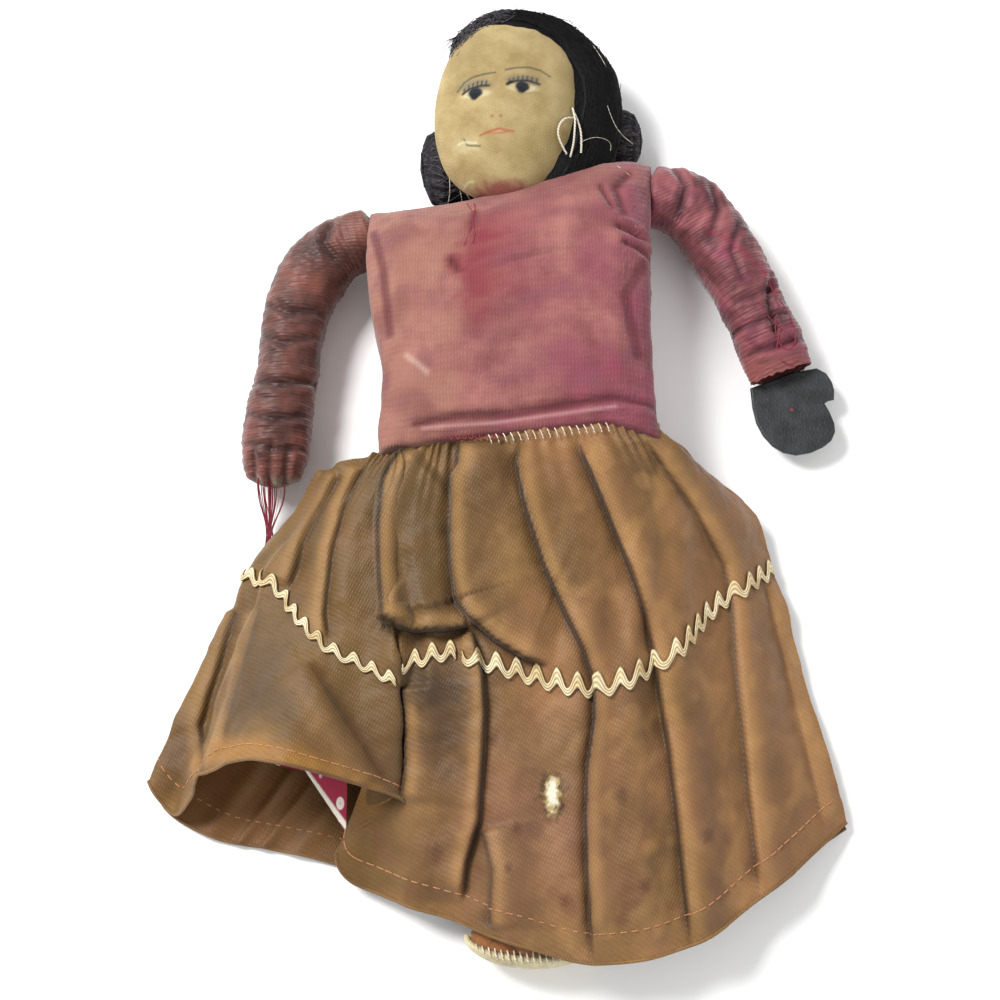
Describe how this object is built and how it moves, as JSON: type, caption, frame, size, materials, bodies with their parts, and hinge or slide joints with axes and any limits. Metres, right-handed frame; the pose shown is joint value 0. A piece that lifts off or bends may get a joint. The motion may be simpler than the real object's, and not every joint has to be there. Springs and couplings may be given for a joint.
{
  "type": "cloth doll",
  "caption": "Stuffed cloth doll lying on its back, with a painted muslin face, black hair, velveteen blouse, pleated skirt with zigzag braid, leather hand and moccasins.",
  "frame": {"origin": "on the surface the doll lies on, under the centre of its bounding box", "axes": "+Z out of the front of the doll, +Y towards the top of its head, +X towards its left hand"},
  "size_m": [0.1835, 0.2647, 0.0327],
  "materials": {
    "muslin": "painted plain-weave cotton, matt",
    "stuffing": "loose cotton wadding",
    "hair": "black sewing and wool strands, soft sheen",
    "string": "twisted cotton string",
    "velveteen": "faded rose cotton velveteen, worn nap",
    "dark_velveteen": "brown-rose cotton velveteen, worn nap",
    "sateen": "bronze sateen, soft sheen",
    "calico": "printed calico, crimson and white",
    "braid": "cream woven rickrack braid",
    "thread": "dark red sewing thread",
    "black_leather": "black grained leather, dry",
    "brown_suede": "brown suede",
    "cream_leather": "cream soft leather"
  },
  "bodies": {
    "trunk": {"trunk_cover": "muslin", "trunk_stuffing": "stuffing", "blouse_front": "velveteen", "blouse_back": "velveteen"},
    "neck": {"neck_plug": "muslin"},
    "head": {"head_cover": "muslin", "head_stuffing": "stuffing", "hair_crown": "hair", "hair_side_left": "hair", "hair_bun": "hair", "bun_tie": "string", "earring_loop": "string"},
    "shoulder_right": {"shoulder_seam_right": "dark_velveteen"},
    "arm_right": {"sleeve_right": "dark_velveteen", "arm_stuffing_right": "stuffing", "wrist_threads": "thread"},
    "shoulder_left": {"shoulder_seam_left": "velveteen"},
    "arm_left": {"sleeve_left": "velveteen", "arm_stuffing_left": "stuffing"},
    "hand": {"hand_left": "black_leather"},
    "skirt": {"waistband": "muslin", "skirt_front": "sateen", "skirt_back": "sateen", "petticoat_front": "calico", "petticoat_back": "calico", "rickrack_front": "braid", "rickrack_back": "braid"},
    "leg_right": {"leg_cover_right": "muslin", "leg_stuffing_right": "stuffing", "moccasin_upper_right": "brown_suede", "moccasin_sole_right": "cream_leather"},
    "leg_left": {"leg_cover_left": "muslin", "leg_stuffing_left": "stuffing", "moccasin_upper_left": "brown_suede", "moccasin_sole_left": "cream_leather"}
  },
  "joints": [
    {"name": "neck_lean", "type": "hinge", "parent": "trunk", "child": "neck", "pos_m": [0, 0.076, 0.0145], "axis": [0, 0, 1], "range_deg": [-10, 10]},
    {"name": "head_nod", "type": "hinge", "parent": "neck", "child": "head", "pos_m": [0, 0.076, 0.0145], "axis": [1, 0, 0], "range_deg": [-8, 25]},
    {"name": "arm_right_sideways", "type": "hinge", "parent": "trunk", "child": "shoulder_right", "pos_m": [-0.04, 0.0638, 0.012], "axis": [0, 0, -1], "range_deg": [-3, 70]},
    {"name": "arm_right_forward", "type": "hinge", "parent": "shoulder_right", "child": "arm_right", "pos_m": [-0.04, 0.0638, 0.012], "axis": [-0.9582, 0.2862, 0], "range_deg": [-20, 75]},
    {"name": "arm_left_sideways", "type": "hinge", "parent": "trunk", "child": "shoulder_left", "pos_m": [0.0456, 0.0766, 0.012], "axis": [0, 0, 1], "range_deg": [-3, 60]},
    {"name": "arm_left_forward", "type": "hinge", "parent": "shoulder_left", "child": "arm_left", "pos_m": [0.0456, 0.0766, 0.012], "axis": [-0.8515, -0.5243, 0], "range_deg": [-20, 75]},
    {"name": "wrist_left_bend", "type": "hinge", "parent": "arm_left", "child": "hand", "pos_m": [0.07795, 0.02295, 0.0061], "axis": [-0.9096, -0.4154, 0], "range_deg": [-35, 60]},
    {"name": "sit_fold", "type": "hinge", "parent": "trunk", "child": "skirt", "pos_m": [0.0057, 0.0004, 0.0316], "axis": [-0.9956, -0.0941, 0], "range_deg": [0, 85]},
    {"name": "leg_right_sideways", "type": "hinge", "parent": "skirt", "child": "leg_right", "pos_m": [-0.009, -0.005, 0.011], "axis": [0, 0, -1], "range_deg": [-2, 3]},
    {"name": "leg_left_sideways", "type": "hinge", "parent": "skirt", "child": "leg_left", "pos_m": [0.0212, -0.004, 0.011], "axis": [0, 0, 1], "range_deg": [-2, 4]}
  ]
}
